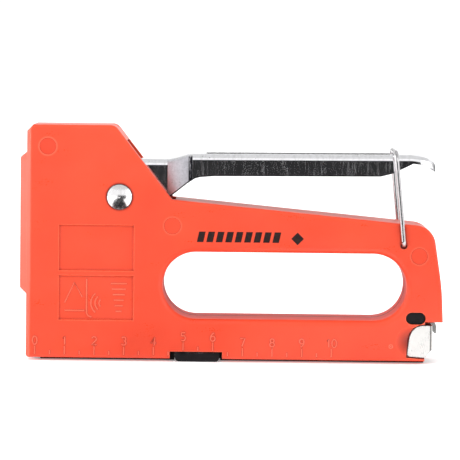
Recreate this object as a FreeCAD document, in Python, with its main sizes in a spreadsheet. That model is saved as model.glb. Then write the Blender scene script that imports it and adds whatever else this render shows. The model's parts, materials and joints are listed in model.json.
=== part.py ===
import FreeCAD, Part
import math
import os
import Sketcher

# Staple gun: two moulded half shells around a steel magazine, a squeeze lever on a rivet,
# a spring-driven hammer and blade in the nose, and a wire bail that holds the lever down.
# Frame: +Z up, nose towards -X, tail towards +X, left shell on the -Y side.
# Origin: centre of the whole gun's footprint, on the plane the magazine stands on.

os.makedirs("parts", exist_ok=True)
doc = FreeCAD.newDocument("staple_gun")
sheet = doc.addObject("Spreadsheet::Sheet", "dims")

DIMS = {
    # outline of the two shells, seen from the side
    "nose_x": -69.2, "rib_x": -71.6, "tail_x": 71.6,
    "floor_z": 1.0, "top_z": 79.6, "top_cut": 2.2,
    "slope_top_x": -39.6, "slope_foot_x": -20.25, "slope_foot_z": 54.75,
    "hand_end_x": 67.9, "hand_end_z": 46.5, "tail_bend_x": 71.1, "tail_bend_z": 25.7,
    "notch_x": 65.6, "notch_z": 14.2,
    "half_width": 12.5, "wall": 2.0, "rim_round": 0.9, "nose_bevel": 1.5,
    "corner_small": 1.0, "corner_brow": 3.0, "corner_tail": 7.0, "corner_tail_soft": 80.0,
    # strip that stands proud of the nose
    "rib_half": 9.6, "rib_front_half": 7.0, "rib_low": 24.2, "rib_high": 68.4, "rib_cut": 2.0,
    # finger opening
    "grip_front_x": -22.95, "grip_rear_x": 59.0, "grip_mid_z": 25.85, "grip_round": 11.1,
    "grip_lip": 2.0, "grip_draft": 0.8,
    # pivot of the lever and its rivet
    "pivot_x": -37.9, "pivot_z": 55.5, "rivet_radius": 2.5, "rivet_head": 4.35, "rivet_dome": 1.9,
    "dome_radius": 6.8, "pivot_bore": 2.55, "pivot_boss": 4.6, "washer_radius": 5.0, "washer_thick": 0.6,
    "upset_radius": 3.7, "upset_high": 1.2, "sleeve_radius": 3.9,
    # shell screws
    "post_radius": 2.85, "screw_radius": 1.5, "screw_head": 2.8, "screw_head_high": 1.3,
    "screw_reach": 8.5, "screw_sink": 1.6,
    "post_nose_x": -62.1, "post_nose_z": 72.3, "post_mid_x": -20.0, "post_mid_z": 45.9,
    "post_tail_x": 63.3, "post_tail_z": 36.5, "screw_slot": 1.6, "screw_slot_half": 0.4,
    # lever, folded from one steel sheet
    "sheet": 1.2, "neck_half": 7.0, "grip_half": 9.5, "fold": 2.0,
    "neck_top": 68.15, "neck_front": -33.5, "rise_front": -22.9, "rise_rear": -13.0,
    "flare_front": -21.9, "flare_rear": -13.6, "flange_foot": 46.0,
    "lever_top_front": 70.1, "lever_top_rear": 70.55, "lever_straight_end": 60.0, "slot_half": 8.3,
    # hammer, blade and nose
    "blade_front": -65.6, "blade_thick": 0.7, "blade_half": 5.6, "blade_low": 8.3, "blade_high": 60.0,
    "hammer_rear": -54.3, "hammer_half": 5.4, "hammer_low": 38.5, "hammer_high": 62.0,
    "pocket_x": -59.6, "pocket_radius": 4.5, "pocket_floor": 44.0,
    "lug_low": 60.05, "lug_front": -64.6, "lug_rear": -58.0, "lug_half": 7.6,
    "plate_front": -66.9, "plate_thick": 1.0, "plate_half": 6.6, "plate_low": 1.2, "plate_high": 64.0,
    "bumper_front": -63.9, "bumper_low": 25.0, "bumper_high": 30.3, "bumper_wide": 10.0,
    "seat_low": 66.8, "seat_thick": 0.8, "seat_radius": 4.6, "spigot_radius": 2.5, "spigot_long": 3.0,
    "spring_mean": 3.45, "spring_wire": 0.75, "spring_pitch": 2.6,
    "blade_rivet_up": 2.7, "blade_rivet_radius": 1.25, "blade_rivet_long": 6.0,
    # magazine
    "mag_front": -64.6, "mag_rear": 65.6, "mag_half": 6.55, "mag_sheet": 0.6, "mag_high": 12.1,
    "core_half": 4.9, "core_low": 0.8, "core_high": 8.6, "core_rear": 60.0,
    "staple_half": 5.7, "staple_wire": 0.6, "staple_leg": 8.0, "staple_gap": 0.1, "strip_length": 48.0,
    "window_front": -20.5, "window_rear": -2.8, "window_top": 3.45,
    "keeper_front": -18.8, "keeper_rear": -3.7, "keeper_half": 12.1, "keeper_high": 3.1,
    "keeper_sheet": 0.7,
    # pusher
    "rod_radius": 1.5, "rod_z": 5.2, "rod_head_x": -59.5, "rod_head": 2.7, "rod_head_long": 1.2,
    "rod_end": 65.0, "return_mean": 2.25, "return_wire": 0.35, "return_pitch": 3.2,
    "cap_pin": 1.1, "cap_pin_z": 8.2,
    "follower_front": -16.3, "follower_length": 11.0,
    "plug_front": 60.6, "plug_half": 5.6, "cap_back": 67.3, "cap_sheet": 0.8,
    "cap_half": 11.9, "cap_low": 2.2, "cap_high": 13.05,
    # wire bail
    "bail_x": 58.0, "bail_z": 40.4, "bail_wire": 0.8, "bail_half": 13.7, "bail_reach": 31.2,
    "bail_bend": 3.0, "bail_inner": 8.7, "bail_lean": -5.7, "bail_bore": 0.88,
    "bail_mouth": 1.2, "bail_mouth_drop": 0.35, "bail_mouth_deep": 1.5, "bail_boss": 2.3, "eye_bend": 1.2,
    # latch of the end cap
    "latch_front": 58.9, "latch_long": 4.5, "latch_pad_start": 7.6, "latch_pad_long": 4.0,
    "latch_pad_gap": 0.25,
    # recesses and small openings of the shells
    "panel_deep": 0.45, "panel_draft": 40.0, "disc_deep": 0.12, "seat_deep": 1.7, "oval_x": 62.4,
    "oval_z": 15.5, "oval_half": 3.35, "oval_round": 2.05,
    "scoop_radius": 14.0, "scoop_deep": 0.95, "scoop_x": 60.8, "scoop_z": 7.6,
}
# Corners of the freer outlines, each (x, z) in the side view unless it says otherwise.
LEVER_SLOT = [(-37.6, 72.8), (-34.5, 75.3), (-19.1, 57.5), (-19.1, 51.6), (-30.0, 51.6)]
PANELS = [(-57.8, -33.2, 30.8, 45.6), (-57.8, -33.2, 14.1, 28.5)]
CAP_SEAT = [(59.3, 2.2), (66.5, 1.6), (66.5, 13.6), (63.6, 13.35), (61.6, 12.3), (60.3, 10.6), (59.7, 8.6)]
LEVER_CUT = [
    (-40.0, 40.0), (-40.0, 49.0), (-30.5, 51.2), (-21.1, 55.35), (-15.1, 60.2), (-12.7, 61.8),
    (-10.9, 62.3), (-5.9, 62.7), (50.0, 63.15), (53.8, 64.1), (56.5, 65.4), (59.2, 66.7),
    (61.0, 67.6), (64.0, 67.2), (66.0, 66.6), (67.4, 65.8), (68.7, 64.6), (72.0, 60.0), (72.0, 40.0)]
LEVER_ARM = [
    (-30.0, 65.5), (-34.0, 65.6), (-38.5, 62.6), (-43.0, 61.2), (-59.6, 59.62), (-60.8, 59.86),
    (-62.4, 59.2), (-63.0, 57.7), (-62.4, 56.2), (-60.8, 55.5), (-45.0, 51.6), (-40.5, 49.4),
    (-37.0, 48.9), (-30.5, 51.2), (-24.0, 54.0), (-24.0, 62.0)]
# Tongue of the lever: distance past the straight grip, drop of its top, and how much narrower it is.
TONGUE = [(0.0, 0.0, 0.0), (2.0, 0.17, 0.1), (4.0, 0.5, 0.5), (5.8, 0.95, 1.1), (7.3, 1.75, 1.8),
          (8.6, 3.3, 2.7)]
# Cross-sections of the latch and the follower: (y, z).
LATCH = [(-8.2, 12.5), (8.2, 12.5), (8.2, 17.3), (7.4, 17.3), (7.4, 13.3), (-7.4, 13.3), (-7.4, 17.3),
         (-8.2, 17.3)]
FOLLOWER = [(-4.0, 1.7), (4.0, 1.7), (4.0, 8.9), (5.2, 8.9), (5.2, 2.0), (5.65, 2.0), (5.65, 11.2),
            (-5.65, 11.2), (-5.65, 2.0), (-5.2, 2.0), (-5.2, 8.9), (-4.0, 8.9)]
PLUG = [("plug_front", 1.0), (64.9, 1.0), (65.4, 2.4), ("cap_back", 5.4), ("cap_back", 11.2),
        ("plug_front", 11.2)]
CHEEK = [
    (59.75, 3.1), (60.0, 6.0), (60.45, 9.2), (61.3, 11.2), (62.7, 12.5), (64.4, "cap_high"),
    ("cap_back + cap_sheet", "cap_high"), ("cap_back + cap_sheet", 5.2), (65.7, "cap_low"), (60.5, 2.5)]
CAP_ROOM = [(55.0, 0.0), (72.0, 0.0), (72.0, 5.3), ("cap_back", 5.3), ("cap_back", 15.0), (55.0, 15.0)]
CAP_LIP = [
    ("cap_back", 12.2), ("cap_back + cap_sheet", 12.2), (68.35, 12.85), (68.8, 12.95), (69.15, 12.4),
    (69.1, 10.0), (69.8, 9.9), (69.85, 12.3), (69.5, 13.3), (68.8, 13.7), (68.0, 13.5), ("cap_back", 12.9)]

for row, (alias, value) in enumerate(DIMS.items(), start=1):
    sheet.set("A%d" % row, alias)
    sheet.set("B%d" % row, str(value))
    sheet.setAlias("B%d" % row, alias)
doc.recompute()

V = FreeCAD.Vector
NO_TURN = FreeCAD.Rotation()
ALONG_X = FreeCAD.Rotation(V(0, 1, 0), 90)
TO_LEFT = FreeCAD.Rotation(V(1, 0, 0), 90)
TO_RIGHT = FreeCAD.Rotation(V(1, 0, 0), -90)
made = []


def size(name):
    """Driving dimension as it stands in the sheet."""
    return float(sheet.get(name))


def term(value):
    """Expression text for a number or for a formula in sheet names."""
    if isinstance(value, (int, float)):
        return repr(float(value))
    words = value.replace("(", " ( ").replace(")", " ) ").split()
    return " ".join("dims." + word if word in DIMS else word for word in words)


def number(value):
    """Value of the same number or formula: sums and differences, with brackets."""
    if isinstance(value, (int, float)):
        return float(value)
    words = value.replace("(", " ( ").replace(")", " ) ").split()
    totals = [0.0]
    signs = [1.0]
    sign = 1.0
    for word in words:
        if word in "+-":
            sign = -1.0 if word == "-" else 1.0
        elif word == "(":
            totals.append(0.0)
            signs.append(sign)
            sign = 1.0
        elif word == ")":
            inner = totals.pop()
            totals[-1] += signs.pop() * inner
        else:
            totals[-1] += sign * (size(word) if word in DIMS else float(word))
    return totals[0]


def new_body(label):
    body = doc.addObject("PartDesign::Body", label)
    body.Label = label
    made.append(body)
    return body


def plane(body, role):
    for item in body.Origin.OriginFeatures:
        if item.Role == role:
            return item
    raise ValueError(role)


def sketch(body, role, name, offset=0.0):
    made_sketch = body.newObject("Sketcher::SketchObject", name)
    made_sketch.AttachmentSupport = [(plane(body, role), "")]
    made_sketch.MapMode = "FlatFace"
    if offset != 0.0:
        made_sketch.setExpression("AttachmentOffset.Base.z", term(offset))
    return made_sketch


def pin_point(drawing, geometry, position, across, up):
    """Fix one point of a sketch at two formulas."""
    for kind, value in (("DistanceX", across), ("DistanceY", up)):
        index = drawing.addConstraint(
            Sketcher.Constraint(kind, geometry, position, number(value)))
        drawing.setExpression("Constraints[%d]" % index, term(value))


def polygon(drawing, corners):
    points = [V(number(across), number(up), 0) for across, up in corners]
    first = drawing.GeometryCount
    count = len(points)
    for index in range(count):
        drawing.addGeometry(Part.LineSegment(points[index], points[(index + 1) % count]))
    for index in range(count):
        drawing.addConstraint(Sketcher.Constraint(
            "Coincident", first + index, 2, first + (index + 1) % count, 1))
    for index, (across, up) in enumerate(corners):
        pin_point(drawing, first + index, 1, across, up)


def box_profile(drawing, left, right, low, high):
    polygon(drawing, [(left, low), (right, low), (right, high), (left, high)])


def circle(drawing, across, up, radius):
    index = drawing.addGeometry(
        Part.Circle(V(number(across), number(up), 0), V(0, 0, 1), number(radius)))
    pin_point(drawing, index, 3, across, up)
    bound = drawing.addConstraint(Sketcher.Constraint("Radius", index, number(radius)))
    drawing.setExpression("Constraints[%d]" % bound, term(radius))


def stadium(drawing, left, right, middle, radius):
    """Slot with full round ends between the outermost points left and right."""
    reach = number(radius)
    west = number(left) + reach
    east = number(right) - reach
    level = number(middle)
    first = drawing.GeometryCount
    drawing.addGeometry(Part.LineSegment(V(west, level - reach, 0), V(east, level - reach, 0)))
    drawing.addGeometry(Part.ArcOfCircle(
        Part.Circle(V(east, level, 0), V(0, 0, 1), reach), -math.pi / 2, math.pi / 2))
    drawing.addGeometry(Part.LineSegment(V(east, level + reach, 0), V(west, level + reach, 0)))
    drawing.addGeometry(Part.ArcOfCircle(
        Part.Circle(V(west, level, 0), V(0, 0, 1), reach), math.pi / 2, 1.5 * math.pi))
    for one, other in ((0, 1), (1, 2), (2, 3), (3, 0)):
        drawing.addConstraint(Sketcher.Constraint(
            "Tangent", first + one, 2, first + other, 1))
    pin_point(drawing, first + 1, 3, "( %s ) - ( %s )" % (right, radius), middle)
    bound = drawing.addConstraint(Sketcher.Constraint("Radius", first + 1, reach))
    drawing.setExpression("Constraints[%d]" % bound, term(radius))
    bound = drawing.addConstraint(Sketcher.Constraint(
        "DistanceX", first + 3, 3, west))
    drawing.setExpression("Constraints[%d]" % bound, term("( %s ) + ( %s )" % (left, radius)))


def refresh(*items):
    """Recompute only the objects given, in order."""
    for item in items:
        item.recompute()


def feature(body, kind, profile, length=None, reverse=False, middle=False, through=False, draft=0.0):
    made_feature = body.newObject("PartDesign::" + kind, profile.Name + "_" + kind.lower())
    made_feature.Profile = profile
    if through:
        made_feature.Type = 1
    else:
        made_feature.setExpression("Length", term(length))
    if draft:
        made_feature.setExpression("TaperAngle", term(draft))
    made_feature.Reversed = reverse
    made_feature.Midplane = middle
    profile.Visibility = False
    body.Tip = made_feature
    refresh(profile, made_feature)
    return made_feature


def dress(body, kind, edges, radius, name):
    base = body.Tip
    made_feature = body.newObject("PartDesign::" + kind, name)
    made_feature.Base = (base, edges)
    made_feature.setExpression("Radius" if kind == "Fillet" else "Size", term(radius))
    body.Tip = made_feature
    refresh(made_feature)
    return made_feature


def edges_where(shape, test):
    return ["Edge%d" % (index + 1) for index, edge in enumerate(shape.Edges) if test(edge)]


def corner_edges(shape, across, up):
    """Edges that run along Y through one corner of the side view."""
    def test(edge):
        return all(abs(v.X - number(across)) < 0.02 and abs(v.Z - number(up)) < 0.02
                   for v in edge.Vertexes) and len(edge.Vertexes) == 2
    return edges_where(shape, test)


def shell(label, side):
    """One moulded half; side is -1 for the left half and +1 for the right half."""
    body = new_body(label)
    right = side > 0

    def drawn(name, start=0.0):
        offset = start if start == 0.0 else ("0 - ( %s )" % start if right else start)
        return sketch(body, "XZ_Plane", label + "_" + name, offset)

    def add(profile, length, **extra):
        return feature(body, "Pad", profile, length, reverse=right, **extra)

    def cut(profile, length, **extra):
        return feature(body, "Pocket", profile, length, reverse=not right, **extra)

    def outward(value):
        """The same distance measured towards this half's own side."""
        return value if right else "0 - ( %s )" % value

    outline = drawn("outline")
    polygon(outline, [
        ("nose_x", "floor_z"), ("notch_x", "floor_z"), ("notch_x", "notch_z"),
        ("tail_x", "notch_z"), ("tail_bend_x", "tail_bend_z"), ("hand_end_x", "hand_end_z"),
        ("slope_foot_x", "slope_foot_z"), ("slope_top_x", "top_z"),
        ("nose_x + top_cut", "top_z"), ("nose_x", "top_z - top_cut")])
    add(outline, "half_width")
    for across, up, radius, name in (
            ("slope_top_x", "top_z", "corner_brow", "brow"),
            ("hand_end_x", "hand_end_z", "corner_tail", "tail_corner"),
            ("tail_bend_x", "tail_bend_z", "corner_tail_soft", "tail_curve"),
            ("nose_x", "floor_z", "corner_small", "toe")):
        dress(body, "Fillet", corner_edges(body.Tip.Shape, across, up), radius, label + "_" + name)
    bevel = sketch(body, "XY_Plane", label + "_nose_bevel")
    polygon(bevel, [
        ("nose_x - 1.0", outward("half_width - nose_bevel - 1.0")),
        ("nose_x + nose_bevel + 1.0", outward("half_width + 1.0")),
        ("nose_x - 1.0", outward("half_width + 1.0"))])
    feature(body, "Pocket", bevel, "top_z + 1.0", reverse=True)

    face_y = side * size("half_width")
    rim = edges_where(body.Tip.Shape, lambda edge: all(
        abs(v.Y - face_y) < 0.01 for v in edge.Vertexes) and abs(edge.CenterOfMass.y - face_y) < 0.01)
    dress(body, "Fillet", rim, "rim_round", label + "_rim")

    rib = sketch(body, "XY_Plane", label + "_rib", "rib_low - rib_cut")
    polygon(rib, [
        ("nose_x + 1.0", 0), ("nose_x + 1.0", outward("rib_half")), ("nose_x", outward("rib_half")),
        ("rib_x", outward("rib_front_half")), ("rib_x", 0)])
    feature(body, "Pad", rib, "rib_high + rib_cut - rib_low + rib_cut")
    rib_ends = drawn("rib_ends")
    polygon(rib_ends, [
        ("rib_x", "rib_high"), ("nose_x", "rib_high + rib_cut"), ("rib_x", "rib_high + rib_cut")])
    polygon(rib_ends, [
        ("rib_x", "rib_low"), ("rib_x", "rib_low - rib_cut"), ("nose_x", "rib_low - rib_cut")])
    cut(rib_ends, "half_width")

    opening = drawn("opening")
    stadium(opening, "grip_front_x", "grip_rear_x", "grip_mid_z", "grip_round")
    cut(opening, "half_width + 1.0", draft="grip_draft")
    lip = edges_where(body.Tip.Shape, lambda edge: abs(edge.CenterOfMass.y - face_y) < 0.01
                      and size("grip_front_x") - 2 < edge.CenterOfMass.x < size("grip_rear_x") + 2
                      and abs(edge.CenterOfMass.z - size("grip_mid_z")) < size("grip_round") + 2
                      and all(abs(v.Y - face_y) < 0.01 for v in edge.Vertexes))
    dress(body, "Fillet", lip, "grip_lip", label + "_lip")

    inside = drawn("inside")
    polygon(inside, [
        ("nose_x + wall + 0.2", "floor_z + wall"), ("notch_x - wall", "floor_z + wall"),
        ("notch_x - wall", "notch_z + wall"), ("tail_x - wall - 0.1", "notch_z + wall"),
        ("tail_bend_x - wall - 0.05", "tail_bend_z"), ("hand_end_x - wall + 0.2", "hand_end_z - wall + 0.1"),
        ("slope_foot_x - 1.05", "slope_foot_z - wall + 0.05"),
        ("slope_top_x - 1.0", "top_z - wall"), ("nose_x + top_cut + 1.0", "top_z - wall"),
        ("nose_x + wall + 0.2", "top_z - top_cut - 1.0")])
    stadium(inside, "grip_front_x - wall", "grip_rear_x + wall", "grip_mid_z", "grip_round + wall")
    cut(inside, "half_width - wall")

    rib_room = drawn("rib_room")
    box_profile(rib_room, "rib_x + wall", "nose_x + wall + 1.0", "rib_low + wall", "rib_high - wall")
    cut(rib_room, "rib_front_half - 1.0")

    posts = drawn("posts")
    for post in ("nose", "mid", "tail"):
        radius = "post_radius + 0.8" if right else "post_radius"
        circle(posts, "post_%s_x" % post, "post_%s_z" % post, radius)
    add(posts, "half_width - wall + 0.3")

    shelves = drawn("shelves")
    box_profile(shelves, "nose_x + wall", -51.0, "seat_low + seat_thick", "seat_low + seat_thick + 1.6")
    box_profile(shelves, "blade_front + blade_thick + 0.6", -50.0, "bumper_low - 2.0", "bumper_low")
    add(shelves, "half_width - wall + 0.3")

    boss = drawn("pivot_boss", "neck_half + 0.3")
    circle(boss, "pivot_x", "pivot_z", "pivot_boss")
    add(boss, "half_width - wall - neck_half")

    bail_boss = drawn("bail_boss", "bail_inner - 0.5")
    circle(bail_boss, "bail_x", "bail_z", "bail_boss")
    add(bail_boss, "half_width - wall - bail_inner + 0.8")

    block = drawn("cap_block", "half_width - wall - 1.9")
    box_profile(block, 54.6, "notch_x - 1.0", "floor_z + 1.0", "notch_z + wall - 0.4")
    add(block, 2.2)

    slot = drawn("lever_slot")
    polygon(slot, LEVER_SLOT)
    cut(slot, "slot_half")

    tunnel = drawn("magazine_room")
    box_profile(tunnel, "nose_x + wall + 0.2", "notch_x + 1.0", "floor_z - 0.5", "mag_high + 0.2")
    cut(tunnel, "mag_half + 0.15")

    window = drawn("window")
    box_profile(window, "window_front", "window_rear", "floor_z - 0.5", "window_top")
    cut(window, None, through=True)

    holes = drawn("holes")
    stadium(holes, "oval_x - oval_half", "oval_x + oval_half", "oval_z", "oval_round")
    circle(holes, "bail_x", "bail_z", "bail_bore")
    circle(holes, "pivot_x", "pivot_z", "rivet_radius")
    cut(holes, None, through=True)

    mouth = drawn("bail_mouth", "half_width - bail_mouth_deep")
    circle(mouth, "bail_x", "bail_z - bail_mouth_drop", "bail_mouth")
    cut(mouth, "bail_mouth_deep + 1.0")

    panels = drawn("panels", "half_width - panel_deep")
    for edges in PANELS:
        box_profile(panels, *edges)
    cut(panels, "panel_deep + 0.1", draft="panel_draft")

    seat = drawn("cap_seat", "half_width - seat_deep")
    polygon(seat, CAP_SEAT)
    cut(seat, 3.0)

    scoop = body.newObject("PartDesign::SubtractiveSphere", label + "_scoop")
    scoop.setExpression("Radius", term("scoop_radius"))
    place(scoop, ("scoop_x", outward("half_width - scoop_deep + scoop_radius"), "scoop_z"), NO_TURN)
    body.Tip = scoop
    refresh(scoop)

    if right:
        bores = drawn("screw_bores")
        for post in ("nose", "mid", "tail"):
            circle(bores, "post_%s_x" % post, "post_%s_z" % post, "screw_radius + 0.1")
        cut(bores, None, through=True)
        sinks = drawn("screw_sinks", "half_width - screw_sink")
        for post in ("nose", "mid", "tail"):
            circle(sinks, "post_%s_x" % post, "post_%s_z" % post, "screw_head + 0.1")
        cut(sinks, 4.0)
    else:
        bores = drawn("screw_bores")
        for post in ("nose", "mid", "tail"):
            circle(bores, "post_%s_x" % post, "post_%s_z" % post, "screw_radius")
        cut(bores, "screw_reach + 0.5")
        discs = drawn("post_discs", "half_width - disc_deep")
        for post in ("nose", "mid", "tail"):
            circle(discs, "post_%s_x" % post, "post_%s_z" % post, "post_radius")
        cut(discs, 1.0)
    return body


def round_bar(name, radius, length, base, turn):
    """Cylinder whose end centre is at base and whose axis is turned by turn."""
    bar = doc.addObject("Part::Cylinder", name)
    bar.setExpression("Radius", term(radius))
    bar.setExpression("Height", term(length))
    place(bar, base, turn)
    return bar


def block(name, left, right, near, far, low, high):
    """Box between two corners given as formulas."""
    box = doc.addObject("Part::Box", name)
    box.setExpression("Length", term("( %s ) - ( %s )" % (right, left)))
    box.setExpression("Width", term("( %s ) - ( %s )" % (far, near)))
    box.setExpression("Height", term("( %s ) - ( %s )" % (high, low)))
    place(box, (left, near, low), NO_TURN)
    return box


def place(item, base, turn):
    item.Placement = FreeCAD.Placement(V(0, 0, 0), turn)
    for axis, value in zip("xyz", base):
        item.setExpression("Placement.Base." + axis, term(value))


def fused(label, items):
    whole = doc.addObject("Part::MultiFuse", label)
    whole.Label = label
    whole.Shapes = items
    return whole


def minus(label, base, tool):
    rest = doc.addObject("Part::Cut", label)
    rest.Label = label
    rest.Base = base
    rest.Tool = tool
    return rest


def keep(item):
    made.append(item)
    return item


left_shell = shell("left_shell", -1)
right_shell = shell("right_shell", 1)

# Three self-tapping screws, heads sunk in the right shell.
screws = []
for spot in ("nose", "mid", "tail"):
    x_name = "post_%s_x" % spot
    z_name = "post_%s_z" % spot
    shank = round_bar("shank_" + spot, "screw_radius", "half_width - screw_sink + screw_reach",
                      (x_name, "half_width - screw_sink", z_name), TO_LEFT)
    head = round_bar("head_" + spot, "screw_head", "screw_head_high",
                     (x_name, "half_width - screw_sink", z_name), TO_RIGHT)
    crosses = []
    for arm_name, reach, rise in (("level", "screw_slot", "screw_slot_half"),
                                  ("upright", "screw_slot_half", "screw_slot")):
        crosses.append(block(
            "cross_%s_%s" % (arm_name, spot), x_name + " - " + reach, x_name + " + " + reach,
            "half_width - screw_sink + 0.5", "half_width", z_name + " - " + rise, z_name + " + " + rise))
    screws.append(minus("screw_" + spot, fused("blank_" + spot, [shank, head]),
                        fused("cross_" + spot, crosses)))
shell_screws = doc.addObject("Part::Compound", "shell_screws")
shell_screws.Label = "shell_screws"
shell_screws.Links = screws
keep(shell_screws)


def channel(body, name, station, top, half, low):
    """Cross-section of the folded sheet at one station along the lever."""
    drawing = sketch(body, "YZ_Plane", name, station)
    sheet_in = number("sheet")
    bend = number("fold")
    wide = number(half)
    high = number(top)
    foot = number(low)
    inner_bend = bend - sheet_in

    def line(start, end):
        drawing.addGeometry(Part.LineSegment(V(*start, 0), V(*end, 0)))

    def arc(middle, radius, start, end):
        drawing.addGeometry(Part.ArcOfCircle(Part.Circle(V(*middle, 0), V(0, 0, 1), radius), start, end))

    line((-wide, foot), (-wide, high - bend))
    arc((-wide + bend, high - bend), bend, math.pi / 2, math.pi)
    line((-wide + bend, high), (wide - bend, high))
    arc((wide - bend, high - bend), bend, 0, math.pi / 2)
    line((wide, high - bend), (wide, foot))
    line((wide, foot), (wide - sheet_in, foot))
    line((wide - sheet_in, foot), (wide - sheet_in, high - bend))
    arc((wide - bend, high - bend), inner_bend, 0, math.pi / 2)
    line((wide - bend, high - sheet_in), (-wide + bend, high - sheet_in))
    arc((-wide + bend, high - bend), inner_bend, math.pi / 2, math.pi)
    line((-wide + sheet_in, high - bend), (-wide + sheet_in, foot))
    line((-wide + sheet_in, foot), (-wide, foot))
    refresh(drawing)
    return drawing


def loft(body, name, stations, ruled):
    sections = [channel(body, "%s_%d" % (name, index), *station)
                for index, station in enumerate(stations)]
    made_loft = body.newObject("PartDesign::AdditiveLoft", name)
    made_loft.Profile = sections[0]
    made_loft.Sections = sections[1:]
    made_loft.Ruled = ruled
    body.Tip = made_loft
    refresh(made_loft)
    return made_loft


# Lever: a narrow neck in the shells, a flared wide grip and a tongue at the tail.
lever = new_body("lever")
FLARE_STEPS = 8


def lever_station(along):
    """Cross-section at x = along: its top rises in an S, and its sides spread behind a fold."""
    rise = min(1.0, max(0.0, (along - number("rise_front")) / number("rise_rear - rise_front")))
    spread = min(1.0, max(0.0, (along - number("flare_front")) / number("flare_rear - flare_front")))
    lift = (1 - math.cos(math.pi * rise)) / 2 * number("lever_top_front - neck_top")
    widening = math.sin(math.pi * spread / 2) * number("grip_half - neck_half")
    return (along, number("neck_top") + lift, number("neck_half") + widening, "flange_foot")


def stations(start, end):
    """Cross-sections evenly spaced from start to end."""
    step = number("( %s ) - ( %s )" % (end, start)) / FLARE_STEPS
    return [lever_station(number(start) + step * index) for index in range(FLARE_STEPS + 1)]


loft(lever, "neck", [("neck_front", "neck_top", "neck_half", "flange_foot"),
                     ("rise_front", "neck_top", "neck_half", "flange_foot")], True)
loft(lever, "rise", stations("rise_front", "flare_front"), False)
loft(lever, "flare", stations("flare_front", "rise_rear"), False)
loft(lever, "grip", [("rise_rear", "lever_top_front", "grip_half", "flange_foot"),
                     ("lever_straight_end", "lever_top_rear", "grip_half", "flange_foot")], True)
tongue = [("lever_straight_end + %r" % along, "lever_top_rear - %r" % drop, "grip_half - %r" % narrower,
           "flange_foot") for along, drop, narrower in TONGUE]
loft(lever, "tongue", tongue, False)

under = sketch(lever, "XZ_Plane", "lever_underside")
polygon(under, LEVER_CUT)
feature(lever, "Pocket", under, None, middle=True, through=True)

arm = sketch(lever, "XZ_Plane", "lever_arm", "neck_half - sheet")
polygon(arm, LEVER_ARM)
arm_pad = feature(lever, "Pad", arm, "sheet")
mirror = lever.newObject("PartDesign::Mirrored", "lever_arm_pair")
mirror.Originals = [arm_pad]
mirror.MirrorPlane = (plane(lever, "XZ_Plane"), [""])
lever.Tip = mirror
refresh(mirror)
eye = sketch(lever, "XZ_Plane", "lever_eye")
circle(eye, "pivot_x", "pivot_z", "pivot_bore")
feature(lever, "Pocket", eye, None, middle=True, through=True)

# Rivet that the lever turns on, its washer and the tube that keeps the flanges apart.
dome = doc.addObject("Part::Sphere", "rivet_dome_ball")
dome.setExpression("Radius", term("dome_radius"))
dome.Angle1 = math.degrees(math.asin(number("dome_radius - rivet_dome + 0.4") / number("dome_radius")))
place(dome, ("pivot_x", "0 - half_width - rivet_dome + dome_radius", "pivot_z"), TO_LEFT)
collar = round_bar("rivet_collar", "rivet_head", 0.5, ("pivot_x", "0 - half_width", "pivot_z"), TO_LEFT)
stem = round_bar("rivet_stem", "rivet_radius", "half_width + half_width + washer_thick + 1.0",
                 ("pivot_x", "0 - half_width - 0.2", "pivot_z"), TO_RIGHT)
upset = round_bar("rivet_upset", "upset_radius", "upset_high",
                  ("pivot_x", "half_width + washer_thick", "pivot_z"), TO_RIGHT)
keep(fused("lever_rivet", [dome, collar, stem, upset]))

washer_disc = round_bar("washer_disc", "washer_radius", "washer_thick", ("pivot_x", "half_width", "pivot_z"),
                        TO_RIGHT)
washer_bore = round_bar("washer_bore", "rivet_radius", "washer_thick + 1.0",
                        ("pivot_x", "half_width - 0.5", "pivot_z"), TO_RIGHT)
keep(minus("rivet_washer", washer_disc, washer_bore))

tube = round_bar("tube_outside", "sleeve_radius", "neck_half + neck_half - sheet - sheet - 0.6",
                 ("pivot_x", "0 - neck_half + sheet + 0.3", "pivot_z"), TO_RIGHT)
tube_bore = round_bar("tube_bore", "rivet_radius", "neck_half + neck_half",
                      ("pivot_x", "0 - neck_half", "pivot_z"), TO_RIGHT)
keep(minus("pivot_sleeve", tube, tube_bore))

# Hammer: block with a spring pocket and two side lugs, and the blade riveted to its front.
hammer = new_body("hammer_block")
hammer_side = sketch(hammer, "XZ_Plane", "hammer_side")
box_profile(hammer_side, "blade_front + blade_thick", "hammer_rear", "hammer_low", "hammer_high")
feature(hammer, "Pad", hammer_side, "hammer_half + hammer_half", middle=True)
lugs = sketch(hammer, "XZ_Plane", "hammer_lugs")
box_profile(lugs, "lug_front", "lug_rear", "lug_low", "hammer_high")
feature(hammer, "Pad", lugs, "lug_half + lug_half", middle=True)
pocket = sketch(hammer, "XY_Plane", "spring_pocket", "pocket_floor")
circle(pocket, "pocket_x", 0, "pocket_radius")
feature(hammer, "Pocket", pocket, 30.0, reverse=True)
rivet_hole = sketch(hammer, "YZ_Plane", "hammer_rivet_hole", "blade_front")
circle(rivet_hole, 0, "hammer_low + blade_rivet_up", "blade_rivet_radius")
feature(hammer, "Pocket", rivet_hole, "blade_rivet_long", reverse=True)

blade = new_body("driver_blade")
blade_face = sketch(blade, "YZ_Plane", "blade_face", "blade_front")
box_profile(blade_face, "0 - blade_half", "blade_half", "blade_low", "blade_high")
circle(blade_face, 0, "hammer_low + blade_rivet_up", "blade_rivet_radius")
feature(blade, "Pad", blade_face, "blade_thick")

keep(round_bar("blade_rivet", "blade_rivet_radius", "blade_rivet_long",
               ("blade_front", 0, "hammer_low + blade_rivet_up"), ALONG_X))


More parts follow.
